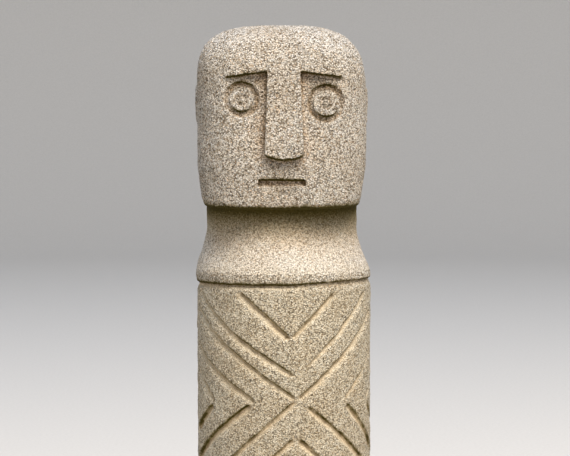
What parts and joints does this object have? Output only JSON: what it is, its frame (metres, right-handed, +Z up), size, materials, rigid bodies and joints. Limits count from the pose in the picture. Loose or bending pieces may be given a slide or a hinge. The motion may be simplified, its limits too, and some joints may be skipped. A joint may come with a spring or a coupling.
{
  "type": "stone head post statue",
  "caption": "Round stone post carved with lozenge grooves, topped by a squared head with ring eyes, a bar nose and a slit mouth above a scooped neck.",
  "frame": {"origin": "centre of the flat underside, on the post's axis", "axes": "+Z up along the post; the face looks along -Y; +X is the figure's left"},
  "size_m": [0.1017, 0.103, 0.31],
  "materials": {
    "stone": "matte"
  },
  "bodies": {
    "root": {"stone_statue": "stone"}
  },
  "joints": []
}
